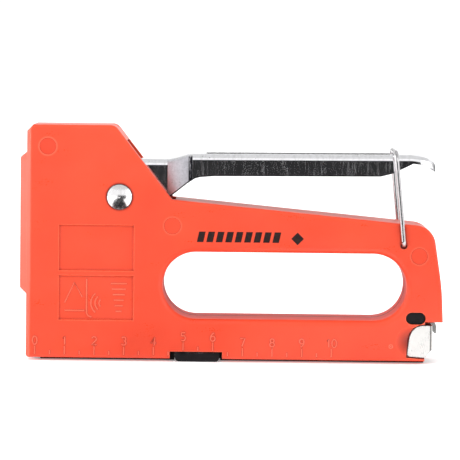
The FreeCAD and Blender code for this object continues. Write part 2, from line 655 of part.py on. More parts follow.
def coil(label, mean, wire, pitch, base, length, turn):
    """Round wire coil that starts at base and runs for length."""
    body = new_body(label)
    section = sketch(body, "XZ_Plane", label + "_wire")
    circle(section, mean, wire, wire)
    helix = body.newObject("PartDesign::AdditiveHelix", label + "_coil")
    helix.Profile = section
    helix.ReferenceAxis = (section, ["V_Axis"])
    helix.Mode = 0
    helix.setExpression("Pitch", term(pitch))
    helix.setExpression("Height", term("( %s ) - ( %s ) - ( %s )" % (length, wire, wire)))
    body.Tip = helix
    place(body, base, turn)
    refresh(section, helix)
    return body


coil("main_spring", "spring_mean", "spring_wire", "spring_pitch", ("pocket_x", 0, "pocket_floor"),
     "seat_low - pocket_floor", NO_TURN)
seat_disc = round_bar("seat_disc", "seat_radius", "seat_thick", ("pocket_x", 0, "seat_low"), NO_TURN)
seat_spigot = round_bar("seat_spigot", "spigot_radius", "spigot_long",
                        ("pocket_x", 0, "seat_low - spigot_long"), NO_TURN)
keep(fused("spring_seat", [seat_disc, seat_spigot]))

bumper = new_body("bumper")
bumper_side = sketch(bumper, "XZ_Plane", "bumper_side")
box_profile(bumper_side, "bumper_front", "hammer_rear - 0.2", "bumper_low", "bumper_high")
feature(bumper, "Pad", bumper_side, "bumper_wide", middle=True)
top_edges = edges_where(bumper.Tip.Shape, lambda edge: edge.CenterOfMass.z > size("bumper_high") - 0.01)
dress(bumper, "Fillet", top_edges, 0.8, "bumper_round")

# Steel plate that guides the blade at the very front.
guide = new_body("nose_plate")
guide_plan = sketch(guide, "XY_Plane", "nose_plan", "plate_low")
polygon(guide_plan, [
    ("plate_front", "0 - plate_half"), ("blade_front + 0.65", "0 - plate_half"),
    ("blade_front + 0.65", "0 - plate_half + 0.6"), ("plate_front + plate_thick", "0 - plate_half + 0.6"),
    ("plate_front + plate_thick", "plate_half - 0.6"), ("blade_front + 0.65", "plate_half - 0.6"),
    ("blade_front + 0.65", "plate_half"), ("plate_front", "plate_half")])
feature(guide, "Pad", guide_plan, "plate_high - plate_low")

# Magazine: channel open downwards, with the staple rail inside it.
magazine = new_body("magazine_channel")
outer = sketch(magazine, "YZ_Plane", "channel_section", "mag_front")
polygon(outer, [
    ("0 - mag_half", 0), ("0 - mag_half + mag_sheet", 0),
    ("0 - mag_half + mag_sheet", "mag_high - mag_sheet"),
    ("mag_half - mag_sheet", "mag_high - mag_sheet"), ("mag_half - mag_sheet", 0), ("mag_half", 0),
    ("mag_half", "mag_high"), ("0 - mag_half", "mag_high")])
feature(magazine, "Pad", outer, "mag_rear - mag_front")
folds = edges_where(magazine.Tip.Shape, lambda edge: abs(edge.CenterOfMass.x) < 5
                    and edge.CenterOfMass.z > size("mag_high") - 0.01
                    and abs(edge.CenterOfMass.y) > size("mag_half") - 0.5)
dress(magazine, "Fillet", folds, 0.5, "channel_fold")
keeper_room = sketch(magazine, "XZ_Plane", "keeper_room")
box_profile(keeper_room, "keeper_front - 0.2", "keeper_rear + 0.2", -1.0, "keeper_sheet + 0.05")
feature(magazine, "Pocket", keeper_room, None, middle=True, through=True)

rail = new_body("staple_rail")
inner = sketch(rail, "YZ_Plane", "rail_section", "mag_front")
polygon(inner, [
    ("0 - core_half", "core_low"), ("core_half", "core_low"), ("core_half", "core_high"),
    ("core_half - mag_sheet", "core_high"), ("core_half - mag_sheet", "core_low + mag_sheet"),
    ("0 - core_half + mag_sheet", "core_low + mag_sheet"), ("0 - core_half + mag_sheet", "core_high"),
    ("0 - core_half", "core_high")])
feature(rail, "Pad", inner, "core_rear - mag_front")

strip = new_body("staple_strip")
crown = sketch(strip, "YZ_Plane", "staple_section", "mag_front")
crown_low = "core_high + staple_gap"
crown_high = crown_low + " + staple_wire"
leg_foot = crown_high + " - staple_leg"
polygon(crown, [
    ("0 - staple_half", leg_foot), ("0 - staple_half + staple_wire", leg_foot),
    ("0 - staple_half + staple_wire", crown_low), ("staple_half - staple_wire", crown_low),
    ("staple_half - staple_wire", leg_foot), ("staple_half", leg_foot),
    ("staple_half", crown_high), ("0 - staple_half", crown_high)])
feature(strip, "Pad", crown, "strip_length")

keeper = new_body("magazine_keeper")
keeper_side = sketch(keeper, "XZ_Plane", "keeper_side")
box_profile(keeper_side, "keeper_front", "keeper_rear", 0, "keeper_high")
feature(keeper, "Pad", keeper_side, "keeper_half + keeper_half", middle=True)
dress(keeper, "Fillet", corner_edges(keeper.Tip.Shape, "keeper_front", 0)
      + corner_edges(keeper.Tip.Shape, "keeper_rear", 0), 1.6, "keeper_round")
keeper_well = sketch(keeper, "XY_Plane", "keeper_well", "keeper_sheet")
box_profile(keeper_well, "keeper_front - 1.0", "keeper_rear + 1.0", "0 - keeper_half + keeper_sheet",
            "keeper_half - keeper_sheet")
feature(keeper, "Pocket", keeper_well, 10.0, reverse=True)

# Latch: a black bracket over the magazine with a press pad in each oval hole.
latch = new_body("magazine_latch")
latch_section = sketch(latch, "YZ_Plane", "latch_section", "latch_front")
polygon(latch_section, LATCH)
feature(latch, "Pad", latch_section, "latch_long")
for hand, turned in (("left", False), ("right", True)):
    start = "0 - latch_pad_start" if turned else "latch_pad_start"
    pad = sketch(latch, "XZ_Plane", "latch_pad_" + hand, start)
    stadium(pad, "oval_x - oval_half + latch_pad_gap", "oval_x + oval_half - latch_pad_gap", "oval_z",
            "oval_round - latch_pad_gap")
    feature(latch, "Pad", pad, "latch_pad_long", reverse=turned)

# Pusher: rod, spring, follower, plug and folded end cap.
follower = new_body("follower")
follower_section = sketch(follower, "YZ_Plane", "follower_section", "follower_front")
polygon(follower_section, FOLLOWER)
circle(follower_section, 0, "rod_z", "rod_radius + 0.05")
feature(follower, "Pad", follower_section, "follower_length")

rod_bar = round_bar("rod_bar", "rod_radius", "rod_end - rod_head_x", ("rod_head_x", 0, "rod_z"), ALONG_X)
rod_tip = round_bar("rod_tip", "rod_head", "rod_head_long", ("rod_head_x", 0, "rod_z"), ALONG_X)
keep(fused("pusher_rod", [rod_bar, rod_tip]))

coil("pusher_spring", "return_mean", "return_wire", "return_pitch",
     ("follower_front + follower_length", 0, "rod_z"), "plug_front - follower_front - follower_length",
     ALONG_X)

plug = new_body("end_plug")
plug_side = sketch(plug, "XZ_Plane", "plug_side")
polygon(plug_side, PLUG)
feature(plug, "Pad", plug_side, "plug_half + plug_half", middle=True)
for name, height, radius, start, deep in (
        ("plug_rod_bore", "rod_z", "rod_radius", "plug_front", "rod_end - plug_front"),
        ("plug_rivet_bore", "cap_pin_z", "cap_pin", "cap_back - 4.0", 4.0)):
    bore = sketch(plug, "YZ_Plane", name, start)
    circle(bore, 0, height, radius)
    feature(plug, "Pocket", bore, deep, reverse=True)

end_cap = new_body("end_cap")
cheek = sketch(end_cap, "XZ_Plane", "cheek")
polygon(cheek, CHEEK)
feature(end_cap, "Pad", cheek, "cap_half + cap_half", middle=True)
cap_room = sketch(end_cap, "XZ_Plane", "cap_room")
polygon(cap_room, CAP_ROOM)
feature(end_cap, "Pocket", cap_room, "cap_half + cap_half - cap_sheet - cap_sheet", middle=True)
lip = sketch(end_cap, "XZ_Plane", "cap_lip")
polygon(lip, CAP_LIP)
feature(end_cap, "Pad", lip, 12.0, middle=True)
rivet_bore = sketch(end_cap, "YZ_Plane", "cap_rivet_bore", "cap_back - 1.0")
circle(rivet_bore, 0, "cap_pin_z", "cap_pin")
feature(end_cap, "Pocket", rivet_bore, 4.0, reverse=True)

rivet_pin = round_bar("cap_rivet_pin", "cap_pin", "cap_sheet + 4.2",
                      ("cap_back - 4.0", 0, "cap_pin_z"), ALONG_X)
rivet_top = round_bar("cap_rivet_top", "cap_pin + 0.9", 0.5,
                      ("cap_back + cap_sheet", 0, "cap_pin_z"), ALONG_X)
keep(fused("cap_rivet", [rivet_pin, rivet_top]))

# Wire bail, drawn upright about its own pivot and then leant towards the nose.
bail = new_body("lock_bail")
path = sketch(bail, "YZ_Plane", "bail_path")
half = size("bail_half")
reach = size("bail_reach")
bend = size("bail_bend")
eye_bend = size("eye_bend")


def quarter(middle_y, middle_z, radius, start):
    path.addGeometry(Part.ArcOfCircle(Part.Circle(V(middle_y, middle_z, 0), V(0, 0, 1), radius),
                                      start, start + math.pi / 2))


def straight(start, end):
    path.addGeometry(Part.LineSegment(V(*start, 0), V(*end, 0)))


straight((-size("bail_inner"), 0), (-half + eye_bend, 0))
quarter(-half + eye_bend, eye_bend, eye_bend, math.pi)
straight((-half, eye_bend), (-half, reach - bend))
quarter(-half + bend, reach - bend, bend, math.pi / 2)
straight((-half + bend, reach), (half - bend, reach))
quarter(half - bend, reach - bend, bend, 0)
straight((half, reach - bend), (half, eye_bend))
quarter(half - eye_bend, eye_bend, eye_bend, 1.5 * math.pi)
straight((half - eye_bend, 0), (size("bail_inner"), 0))
wire = sketch(bail, "XZ_Plane", "bail_wire_section", "bail_inner")
circle(wire, 0, 0, "bail_wire")
pipe = bail.newObject("PartDesign::AdditivePipe", "bail_pipe")
pipe.Profile = wire
pipe.Spine = (path, [])
bail.Tip = pipe
lean = FreeCAD.Rotation(V(0, 1, 0), size("bail_lean"))
place(bail, ("bail_x", 0, "bail_z"), lean)
refresh(path, wire, pipe)

doc.recompute()
problems = 0
for item in doc.Objects:
    if "Invalid" in item.State or "Error" in item.State:
        print("PROBLEM", item.Name, item.State)
        problems += 1
for item in made:
    shape = item.Shape
    good = not shape.isNull() and shape.isValid() and shape.Volume > 0
    if not good:
        print("BAD SHAPE", item.Label)
        problems += 1
        continue
    print(item.Label, len(shape.Solids), round(shape.Volume, 1))
    shape.exportStep("parts/%s.step" % item.Label)
print("nodes", len(made), "problems", problems)
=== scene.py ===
"""Looks of a hand staple gun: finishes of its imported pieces, raised and printed marks, studio and camera."""

import json
import math

import bmesh
import bpy
from mathutils import Matrix, Vector


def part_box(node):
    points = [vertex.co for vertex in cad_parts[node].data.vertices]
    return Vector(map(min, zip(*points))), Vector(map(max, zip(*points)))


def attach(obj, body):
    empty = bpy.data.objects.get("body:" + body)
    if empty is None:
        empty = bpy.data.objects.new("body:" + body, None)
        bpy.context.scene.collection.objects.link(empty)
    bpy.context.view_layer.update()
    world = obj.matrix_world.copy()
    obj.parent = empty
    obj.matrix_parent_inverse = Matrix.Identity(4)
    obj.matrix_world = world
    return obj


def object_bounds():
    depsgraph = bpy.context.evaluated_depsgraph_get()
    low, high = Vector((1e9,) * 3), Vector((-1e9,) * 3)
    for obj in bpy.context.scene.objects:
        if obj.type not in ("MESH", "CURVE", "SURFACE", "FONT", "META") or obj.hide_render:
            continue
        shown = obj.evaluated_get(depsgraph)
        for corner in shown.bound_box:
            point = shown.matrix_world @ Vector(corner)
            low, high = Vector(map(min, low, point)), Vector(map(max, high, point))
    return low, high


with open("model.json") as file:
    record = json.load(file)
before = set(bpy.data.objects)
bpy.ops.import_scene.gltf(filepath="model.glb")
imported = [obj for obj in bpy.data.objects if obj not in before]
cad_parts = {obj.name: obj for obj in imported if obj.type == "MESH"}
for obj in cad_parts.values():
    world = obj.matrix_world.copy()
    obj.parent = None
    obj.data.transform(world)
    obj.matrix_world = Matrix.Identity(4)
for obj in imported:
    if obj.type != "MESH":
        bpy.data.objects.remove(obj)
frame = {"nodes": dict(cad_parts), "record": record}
cad_low, cad_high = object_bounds()

MM = 0.001
shell_low, shell_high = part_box("left_shell")
near_face = shell_low.y
SHARP_ANGLE = math.radians(40)


# ---------------------------------------------------------------- camera and studio

CAMERA_DISTANCE = 1.0
CAMERA_LENS = 232.5
CAMERA_SENSOR = 36.0
CAMERA_ELEVATION = math.radians(3.6)
CAMERA_ROLL = math.radians(0.65)
AIM_RIGHT = -0.6 * MM
AIM_UP = 4.45 * MM


def add_camera():
    """A long lens, a little above the gun and square to its near side."""
    centre = (shell_low + shell_high) / 2
    aim = Vector((centre.x + AIM_RIGHT, near_face, centre.z + AIM_UP))
    ahead = Vector((0, math.cos(CAMERA_ELEVATION), -math.sin(CAMERA_ELEVATION)))
    level = Vector((1, 0, 0))
    upright = level.cross(ahead)
    right = level * math.cos(CAMERA_ROLL) + upright * math.sin(CAMERA_ROLL)
    up = upright * math.cos(CAMERA_ROLL) - level * math.sin(CAMERA_ROLL)
    lens = bpy.data.cameras.new("camera")
    lens.lens = CAMERA_LENS
    lens.sensor_width = CAMERA_SENSOR
    lens.clip_start = 0.01
    lens.clip_end = 100
    camera = bpy.data.objects.new("camera", lens)
    turn = Matrix((right, up, -ahead)).transposed()
    camera.matrix_world = Matrix.Translation(aim - ahead * CAMERA_DISTANCE) @ turn.to_4x4()
    bpy.context.scene.collection.objects.link(camera)
    bpy.context.scene.camera = camera


def add_mesh(name, bm, material):
    """The object that bm describes, in the scene, with one material."""
    mesh = bpy.data.meshes.new(name)
    bmesh.ops.recalc_face_normals(bm, faces=bm.faces)
    bm.to_mesh(mesh)
    bm.free()
    mesh.materials.append(material)
    made = bpy.data.objects.new(name, mesh)
    bpy.context.scene.collection.objects.link(made)
    return made


def add_softbox(name, place, width, height, power, in_reflections):
    """A soft rectangular lamp at place, turned to the gun."""
    lamp = bpy.data.lights.new(name, "AREA")
    lamp.shape = "RECTANGLE"
    lamp.size = width
    lamp.size_y = height
    lamp.energy = power
    box = bpy.data.objects.new(name, lamp)
    box.location = place
    box.visible_glossy = in_reflections
    towards = (shell_low + shell_high) / 2 - Vector(place)
    box.rotation_euler = towards.to_track_quat("-Z", "Y").to_euler()
    bpy.context.scene.collection.objects.link(box)


def add_ceiling(name, strength, spread):
    """Even light from straight above, soft over a cone spread degrees wide, that leaves no highlight."""
    lamp = bpy.data.lights.new(name, "SUN")
    lamp.energy = strength
    lamp.angle = math.radians(spread)
    ceiling = bpy.data.objects.new(name, lamp)
    ceiling.location.z = 2
    ceiling.visible_glossy = False
    bpy.context.scene.collection.objects.link(ceiling)


def flat_sheet(corners):
    """A bmesh with one face."""
    bm = bmesh.new()
    bm.faces.new([bm.verts.new(corner) for corner in corners])
    return bm


def add_flag(name, corners, look):
    """A card that only reflections see."""
    flag = add_mesh(name, flat_sheet(corners), look.material)
    flag.visible_camera = False
    flag.visible_diffuse = False
    flag.visible_transmission = False
    flag.visible_shadow = False


def upright_card(left, right, y, low, high):
    """Corners of a card that stands across the view."""
    return [(left, y, low), (right, y, low), (right, y, high), (left, y, high)]


WORLD_STRENGTH = 0.76
CEILING_STRENGTH = 1.75
CEILING_SPREAD = 70
# name, place, width, height, power, and whether reflections show the lamp
SOFTBOXES = [
    ("key_softbox", (-1.0, -1.3, 0.85), 1.2, 1.2, 11, False),
    ("left_softbox", (-1.2, 0.05, 0.40), 0.6, 0.9, 8, True),
    ("right_softbox", (1.4, -0.9, 0.6), 0.8, 0.8, 4, True),
]
FLOOR_REACH = 20
FLOOR_GAP = 0.02 * MM
WALL_RADIUS, WALL_HEIGHT, WALL_FOOT = 18, 16, -1.0
# flags: where each one is, in metres, and how far the top flag is above the lever's top
FRONT_LEFT, FRONT_RIGHT, FRONT_Y, FRONT_TOP = -0.13, 0.32, -0.45, 0.105
REAR_LEFT, REAR_RIGHT, REAR_Y, REAR_TOP = -0.03, 0.075, 0.12, 0.060
TOP_LEFT, TOP_RIGHT, TOP_Y = -0.0115, 0.070, 0.30
TOP_LOW, TOP_HIGH = 5 * MM, 20 * MM
TABLE_GAP = 0.5 * MM


def add_world():
    """Even pale light from all round, and plain white without a film look."""
    world = bpy.data.worlds.new("pale_room")
    world.use_nodes = True
    world.node_tree.nodes["Background"].inputs["Color"].default_value = (1, 1, 1, 1)
    world.node_tree.nodes["Background"].inputs["Strength"].default_value = WORLD_STRENGTH
    bpy.context.scene.world = world
    bpy.context.scene.view_settings.view_transform = "Standard"


def add_paper():
    """A white floor, and far off a white wall all round that shines into the camera and into reflections."""
    paper = Look("floor_paper", {"Base Color": (0.92, 0.92, 0.92, 1), "Roughness": 0.7,
                                 "Emission Color": (1, 1, 1, 1), "Emission Strength": 0.25})
    corners = [(-FLOOR_REACH, -FLOOR_REACH, 0), (FLOOR_REACH, -FLOOR_REACH, 0),
               (FLOOR_REACH, FLOOR_REACH, 0), (-FLOOR_REACH, FLOOR_REACH, 0)]
    floor = add_mesh("floor", flat_sheet(corners), paper.material)
    floor.location.z = cad_low.z - FLOOR_GAP

    shining = Look("backdrop_paper", {"Base Color": (0, 0, 0, 1), "Roughness": 1.0,
                                      "Emission Color": (1, 1, 1, 1), "Emission Strength": 1.05})
    bm = bmesh.new()
    bmesh.ops.create_cone(bm, segments=64, radius1=WALL_RADIUS, radius2=WALL_RADIUS, depth=WALL_HEIGHT)
    wall = add_mesh("backdrop", bm, shining.material)
    wall.location.z = WALL_HEIGHT / 2 + WALL_FOOT
    wall.visible_diffuse = False
    wall.visible_transmission = False
    wall.visible_shadow = False


def add_flags():
    """Dark cards: in front for flat near faces, on the table for domes, behind for faces that look up."""
    black = Look("flag_cloth", {"Base Color": (0.004, 0.004, 0.005, 1), "Roughness": 0.9})
    add_flag("front_flag", upright_card(FRONT_LEFT, FRONT_RIGHT, FRONT_Y, 0, FRONT_TOP), black)

    # on the table, from just in front of the lever's rivet out to the front flag
    rivet_low, rivet_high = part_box("lever_rivet")
    rivet_x = (rivet_low.x + rivet_high.x) / 2
    outline = [(rivet_x - 0.040, -0.024), (rivet_x + 0.040, -0.024), (rivet_x + 0.070, -0.17),
               (FRONT_RIGHT, FRONT_Y), (FRONT_LEFT, FRONT_Y), (rivet_x - 0.080, -0.13)]
    add_flag("table_flag", [(x, y, TABLE_GAP) for x, y in outline], black)

    grey = Look("grey_flag_cloth", {"Base Color": (0.20, 0.19, 0.21, 1), "Roughness": 0.9})
    add_flag("rear_flag", upright_card(REAR_LEFT, REAR_RIGHT, REAR_Y, 0, REAR_TOP), grey)
    lever_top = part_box("lever")[1].z
    card = upright_card(TOP_LEFT, TOP_RIGHT, TOP_Y, lever_top + TOP_LOW, lever_top + TOP_HIGH)
    add_flag("top_flag", card, black)


def add_studio():
    """A pale room with soft lamps, and flags that only reflections see."""
    add_world()
    add_ceiling("ceiling", CEILING_STRENGTH, CEILING_SPREAD)
    for softbox in SOFTBOXES:
        add_softbox(*softbox)
    add_paper()
    add_flags()


# ---------------------------------------------------------------- materials

# a Mix node's sockets when it mixes colours
MIX_SHARE, MIX_FIRST, MIX_SECOND, MIX_RESULT = 0, 6, 7, 2


class Look:
    """A material being made: its Principled shader, and short ways to add procedural nodes to it."""

    def __init__(self, name, values):
        self.material = bpy.data.materials.new(name)
        self.material.use_nodes = True
        self.nodes = self.material.node_tree.nodes
        self.links = self.material.node_tree.links
        self.shader = self.nodes["Principled BSDF"]
        for socket, value in values.items():
            self.shader.inputs[socket].default_value = value
        self.place = None

    def add(self, kind, inputs, **settings):
        """A node with these settings. An input is a number, a colour, or another node's output."""
        node = self.nodes.new(kind)
        for setting, value in settings.items():
            setattr(node, setting, value)
        for socket, value in inputs.items():
            if isinstance(value, bpy.types.NodeSocket):
                self.links.new(value, node.inputs[socket])
            else:
                node.inputs[socket].default_value = value
        return node

    def set(self, socket, value):
        """Drives one of the shader's sockets."""
        self.links.new(value, self.shader.inputs[socket])

    def spread(self, size, stretch):
        """Object coordinates in units of size metres, drawn out by stretch along X, Y and Z."""
        if self.place is None:
            self.place = self.add("ShaderNodeTexCoord", {}).outputs["Object"]
        scale = [1 / (size * s) for s in stretch]
        return self.add("ShaderNodeMapping", {"Vector": self.place, "Scale": scale}).outputs["Vector"]

    def clouds(self, size, stretch=(1, 1, 1), detail=3.0, rough=0.5):
        """Soft noise round 0.5 with clouds size metres wide."""
        inputs = {"Vector": self.spread(size, stretch), "Scale": 1.0, "Detail": detail, "Roughness": rough}
        return self.add("ShaderNodeTexNoise", inputs).outputs["Fac"]

    def facing(self):
        """The direction that the surface faces."""
        return self.add("ShaderNodeNewGeometry", {}).outputs["Normal"]

    def fit(self, value, low, high, to_low=0.0, to_high=1.0):
        """Value from low..high to to_low..to_high, and no further."""
        inputs = {"Value": value, "From Min": low, "From Max": high, "To Min": to_low, "To Max": to_high}
        return self.add("ShaderNodeMapRange", inputs).outputs["Result"]

    def ramp(self, value, *stops):
        """A colour for each value, from (position, colour) stops."""
        node = self.add("ShaderNodeValToRGB", {"Fac": value})
        elements = node.color_ramp.elements
        while len(elements) < len(stops):
            elements.new(0.5)
        for element, (position, colour) in zip(elements, stops):
            element.position = position
            element.color = (*colour, 1)
        return node.outputs["Color"]

    def mix(self, share, first, second):
        """First colour, going to the second as share goes from 0 to 1."""
        node = self.add("ShaderNodeMix", {}, data_type="RGBA")
        for index, value in ((MIX_SHARE, share), (MIX_FIRST, first), (MIX_SECOND, second)):
            if isinstance(value, bpy.types.NodeSocket):
                self.links.new(value, node.inputs[index])
            else:
                node.inputs[index].default_value = value
        return node.outputs[MIX_RESULT]

    def sums(self, operation, first, second=0.0):
        """One step of arithmetic on two numbers."""
        return self.add("ShaderNodeMath", {0: first, 1: second}, operation=operation).outputs["Value"]

    def axes(self):
        """X, Y and Z of a point in the part's frame, as outputs."""
        return self.add("ShaderNodeSeparateXYZ", {"Vector": self.spread(1.0, (1, 1, 1))}).outputs

    def away(self, x, z):
        """Distance in the side view from the point (x, z)."""
        axes = self.axes()
        across = self.sums("SUBTRACT", axes["X"], x)
        up = self.sums("SUBTRACT", axes["Z"], z)
        square = self.sums("ADD", self.sums("MULTIPLY", across, across), self.sums("MULTIPLY", up, up))
        return self.sums("SQRT", square)

    def beyond(self, start, end):
        """Distance above the line from start to end, each (x, z) in mm from the nose end and the table."""
        along = Vector((end[0] - start[0], 0, end[1] - start[1])).normalized()
        upwards = Vector((-along.z, 0, along.x))
        foot = Vector((shell_low.x + start[0] * MM, 0, cad_low.z + start[1] * MM))
        reach = self.add("ShaderNodeVectorMath", {0: self.spread(1.0, (1, 1, 1)), 1: upwards},
                         operation="DOT_PRODUCT").outputs["Value"]
        return self.sums("SUBTRACT", reach, upwards.dot(foot))

    def within(self, value, low, high, fade):
        """1 where low < value < high, fading to 0 over fade on both sides."""
        return self.sums("MULTIPLY", self.fit(value, low - fade, low), self.fit(value, high + fade, high))

    # this edge mask carries real wear on the black parts, and painted highlight and painted shade on the orange
    # plastic and the steel
    def worn_edges(self, width, start=0.02, full=0.25):
        """1 along sharp edges, within width metres of them, and 0 on flat stretches."""
        softened = self.add("ShaderNodeBevel", {"Radius": width}, samples=4).outputs["Normal"]
        meet = self.add("ShaderNodeVectorMath", {0: softened, 1: self.facing()}, operation="DOT_PRODUCT")
        return self.fit(meet.outputs["Value"], 1 - start, 1 - full)

    def hollows(self, reach, start=0.96, full=0.55):
        """1 deep in corners and recesses, where other surfaces stand within reach metres, and 0 in the open."""
        open_share = self.add("ShaderNodeAmbientOcclusion", {"Distance": reach}, samples=8).outputs["AO"]
        return self.fit(open_share, start, full)

    def bump(self, height, depth, strength=1.0):
        """Raises the surface by height times depth metres, on top of earlier bumps."""
        inputs = {"Height": height, "Distance": depth, "Strength": strength}
        if self.shader.inputs["Normal"].is_linked:
            inputs["Normal"] = self.shader.inputs["Normal"].links[0].from_socket
        self.set("Normal", self.add("ShaderNodeBump", inputs).outputs["Normal"])


# the finger opening, and half widths of the line between the shells: elsewhere, and in the opening
OPENING_X = (shell_low.x + 48 * MM, shell_low.x + 131 * MM)
OPENING_Z = (shell_low.z + 13 * MM, shell_low.z + 36 * MM)
SEAM_HALF = 0.16 * MM
GROOVE_HALF = 0.9 * MM
SEAM_TINT = (0.16, 0.010, 0.006, 1)
# middle (x, z) of the shallow scoop beside the end cap, and the painted shade that darkens it towards the cap
SCOOP = (shell_high.x - 10.6 * MM, shell_low.z + 6.4 * MM)
SCOOP_PAINTED_SHADE = (0.20, 0.018, 0.009, 1)
# the screw posts; the middle one is that far behind the nose end, and above the lowest screw head's edge
SCREW_HEAD = 2.8 * MM
MIDDLE_POST = (51.6 * MM, 12.2 * MM)
POST_RADIUS = 2.85 * MM
# painted shade over the screw posts, and painted highlight on the ring round each
POST_PAINTED_SHADE = (0.66, 0.030, 0.008, 1)
POST_RING_PAINTED_HIGHLIGHT = (0.95, 0.15, 0.08, 1)
# painted shade for corners and recesses
HOLLOW_PAINTED_SHADE = (0.28, 0.013, 0.006, 1)


def post_centres():
    """(x, z, depth) of the screw posts: depth is how strongly the painted shade and painted highlight over each
    one show.
    """
    screws_low, screws_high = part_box("shell_screws")
    return [(screws_low.x + SCREW_HEAD, screws_high.z - SCREW_HEAD, 1.0),
            (shell_low.x + MIDDLE_POST[0], screws_low.z + MIDDLE_POST[1], 0.45),
            (screws_high.x - SCREW_HEAD, screws_low.z + SCREW_HEAD, 0.30)]


def shade_shells(look, tint):
    """Tint of the shells only: painted shade ringed by painted highlight over the posts, the line in the
    opening, painted shade in the scoop.
    """
    for x, z, depth in post_centres():
        # the darker disc over each post is painted shade, the pale ring round it painted highlight
        away = look.away(x, z)
        disc = look.fit(away, POST_RADIUS, POST_RADIUS - 0.35 * MM, 0, 0.34 * depth)
        ring = look.sums("MULTIPLY", look.fit(away, POST_RADIUS - 0.15 * MM, POST_RADIUS + 0.1 * MM),
                         look.fit(away, POST_RADIUS + 0.7 * MM, POST_RADIUS + 0.2 * MM))
        tint = look.mix(disc, tint, POST_PAINTED_SHADE)
        tint = look.mix(look.sums("MULTIPLY", ring, 0.35 * depth + 0.1), tint, POST_RING_PAINTED_HIGHLIGHT)
    axes = look.axes()
    in_opening = look.sums("MULTIPLY", look.within(axes["X"], *OPENING_X, MM),
                           look.within(axes["Z"], *OPENING_Z, MM))
    half = look.fit(in_opening, 0, 1, SEAM_HALF, GROOVE_HALF)
    to_seam = look.sums("DIVIDE", look.sums("ABSOLUTE", axes["Y"]), half)
    seam = look.fit(to_seam, 1.3, 1.0)
    tint = look.mix(look.sums("MULTIPLY", seam, 0.8), tint, SEAM_TINT)
    # painted shade in the scoop, darkest next to the end cap
    scoop = look.fit(look.away(*SCOOP), 5.4 * MM, 1.2 * MM, 0, 0.95)
    return look.mix(scoop, tint, SCOOP_PAINTED_SHADE)


def orange_plastic(name, low, high, rubbed, share, shells=False):
    """Glossy orange-red moulded plastic: cloudy and fine-grained, pale on its edges from rubbing and a painted
    highlight, with painted shade in corners.

    Its colour goes from low to high, and towards rubbed by share on edges, for rubbing and a painted highlight.
    """
    look = Look(name, {"Subsurface Weight": 0.12, "Subsurface Radius": (1.0, 0.35, 0.2),
                       "Subsurface Scale": 1.0 * MM, "IOR": 1.5, "Specular IOR Level": 0.4})
    cloud = look.clouds(24 * MM, detail=3)
    fine = look.clouds(0.35 * MM, detail=2)
    tint = look.ramp(cloud, (0.32, low), (0.68, high))
    hollow = look.hollows(1.0 * MM)
    # pale open edges: partly rubbed wear, partly painted highlight
    edge = look.sums("MULTIPLY", look.worn_edges(0.4 * MM, 0.006, 0.10), look.fit(hollow, 0.12, 0.0))
    tint = look.mix(look.fit(edge, 0, 1, 0, share), tint, (*rubbed, 1))
    if shells:
        tint = shade_shells(look, tint)
    # painted shade darkens corners and recesses
    tint = look.mix(look.fit(hollow, 0, 0.7, 0, 0.85), tint, HOLLOW_PAINTED_SHADE)
    look.set("Base Color", tint)
    rub = look.clouds(5 * MM, stretch=(3, 1, 1), detail=6, rough=0.65)
    uneven = look.sums("ADD", rub, look.fit(fine, 0.3, 0.7, -0.1, 0.1))
    look.set("Roughness", look.fit(uneven, 0.25, 0.8, 0.26, 0.42))
    look.bump(look.clouds(9 * MM, detail=1), 0.05 * MM)
    look.bump(fine, 0.006 * MM)
    return look.material


# the lever's flare: its grainy flank and the bend behind it along X, and its lower edge as for Look.beyond
FLARE_START = shell_low.x + 49.6 * MM
FLARE_END = shell_low.x + 56.7 * MM
BEND_END = shell_low.x + 58.2 * MM
FLARE_EDGE = ((50.5, 55.35), (56.5, 60.2))
# painted dark reflection for the bend, and painted shade for the flare's lower edge
FLARE_BEND_PAINTED_REFLECTION = (0.02, 0.02, 0.025, 1)
FLARE_EDGE_PAINTED_SHADE = (0.02, 0.02, 0.022, 1)
# the end of the lever's tongue
TONGUE_END = shell_low.x + 140.2 * MM
TONGUE_TINT = (0.10, 0.10, 0.105, 1)
CHROME_EDGE_PAINTED_SHADE = (0.06, 0.06, 0.065, 1)
CHROME_PIT = (0.12, 0.11, 0.11, 1)


def dull_flare(look, streak, gloss, tint):
    """Roughness and tint of the lever, where bending has made the plating grainy and streaky, with a painted
    dark reflection on the bend and painted shade along the flare's lower edge; the tongue's end is darker.
    """
    along = look.axes()["X"]
    upward = look.add("ShaderNodeSeparateXYZ", {"Vector": look.facing()}).outputs["Z"]
    zone = look.within(along, FLARE_START + 0.2 * MM, BEND_END - 0.2 * MM, 0.2 * MM)
    zone = look.sums("MULTIPLY", zone, look.fit(upward, 0.8, 0.5))
    bend = look.sums("MULTIPLY", look.fit(along, FLARE_END - 0.1 * MM, FLARE_END + 0.3 * MM),
                     look.fit(streak, 0.62, 0.54))
    grainy = look.clouds(0.9 * MM, detail=4, rough=0.7)
    dull = look.sums("MULTIPLY", zone, look.fit(grainy, 0.3, 0.7, 0.42, 0.60))
    gloss = look.sums("MAXIMUM", gloss, dull)
    matte = look.ramp(grainy, (0.35, (0.50, 0.50, 0.54)), (0.65, (0.66, 0.66, 0.71)))
    # painted dark reflection in streaks on the bend
    matte = look.mix(bend, matte, FLARE_BEND_PAINTED_REFLECTION)
    tint = look.mix(zone, tint, matte)
    # painted shade along the flare's lower edge
    rim = look.fit(look.beyond(*FLARE_EDGE), 0.50 * MM, 0.35 * MM, 0, 0.9)
    tint = look.mix(look.sums("MULTIPLY", zone, rim), tint, FLARE_EDGE_PAINTED_SHADE)
    tip = look.fit(along, TONGUE_END - 1.5 * MM, TONGUE_END - 0.3 * MM, 0, 0.85)
    return gloss, look.mix(tip, tint, TONGUE_TINT)


